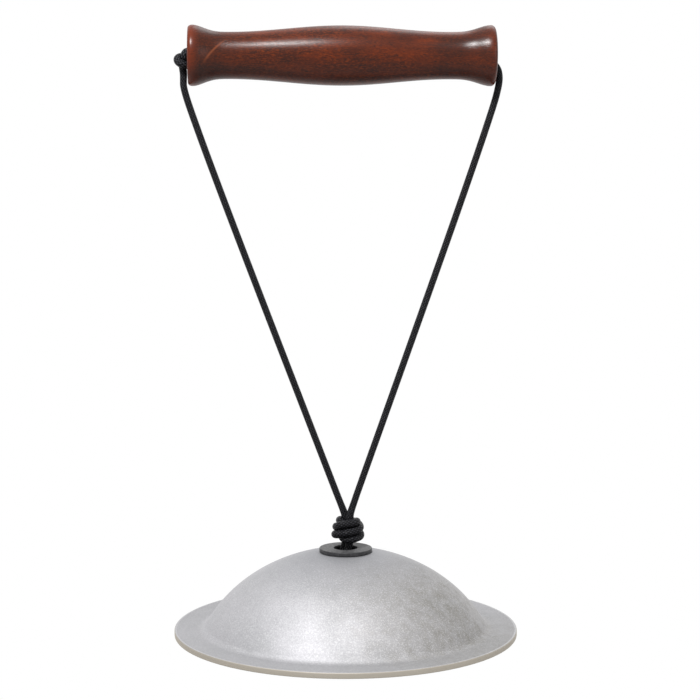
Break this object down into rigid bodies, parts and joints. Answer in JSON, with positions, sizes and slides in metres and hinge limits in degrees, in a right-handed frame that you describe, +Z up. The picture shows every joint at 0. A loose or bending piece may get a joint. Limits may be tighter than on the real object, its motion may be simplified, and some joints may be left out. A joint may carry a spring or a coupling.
{
  "type": "bell cymbal",
  "caption": "Thick domed aluminium bell cymbal with a flat rim, hung by a knotted black braided cord from a turned wooden hand grip.",
  "frame": {"origin": "middle of the handle, on the axis of its bore, where the hand closes round it", "axes": "+Z up from the bell to the handle, +X along the handle away from the end with the stopper knot, +Y away from the picture's camera"},
  "size_m": [0.1778, 0.1778, 0.3126],
  "materials": {
    "stained_hardwood": "reddish-brown stain with darker streaks and pores under a satin lacquer, redder at the rims",
    "blasted_aluminium": "satin, faintly mottled, with a bright turned rim edge",
    "dark_rubber": "dull dark grey",
    "braided_nylon": "black round braid with a slight sheen"
  },
  "bodies": {
    "handle": {"handle": "stained_hardwood"},
    "sling": {"bore_cord": "braided_nylon", "handle_knot": "braided_nylon", "left_leg": "braided_nylon", "right_leg": "braided_nylon", "left_bend": "braided_nylon", "right_bend": "braided_nylon"},
    "knot": {"crown_knot_left": "braided_nylon", "crown_knot_right": "braided_nylon", "tail_knot_left": "braided_nylon", "tail_knot_right": "braided_nylon"},
    "seat": {"lower_washer": "dark_rubber"},
    "bell": {"bell": "blasted_aluminium"},
    "top_washer": {"upper_washer": "dark_rubber"}
  },
  "joints": [
    {"name": "sling_swing", "type": "hinge", "parent": "handle", "child": "sling", "pos_m": [0, 0, 0], "axis": [1, 0, 0], "range_deg": [-90, 90]},
    {"name": "bell_nod", "type": "hinge", "parent": "sling", "child": "knot", "pos_m": [0.0018, 0, -0.22722], "axis": [1, 0, 0], "range_deg": [-60, 60], "deforming": ["left_bend", "right_bend"]},
    {"name": "bell_sway", "type": "hinge", "parent": "knot", "child": "seat", "pos_m": [0.0018, 0, -0.26651], "axis": [0, 1, 0], "range_deg": [-7, 7]},
    {"name": "bell_spin", "type": "hinge", "parent": "seat", "child": "bell", "pos_m": [0.0018, 0, -0.2564], "axis": [0, 0, 1], "continuous": true},
    {"name": "washer_spin", "type": "hinge", "parent": "bell", "child": "top_washer", "pos_m": [0.0018, 0, -0.2536], "axis": [0, 0, 1], "continuous": true}
  ]
}
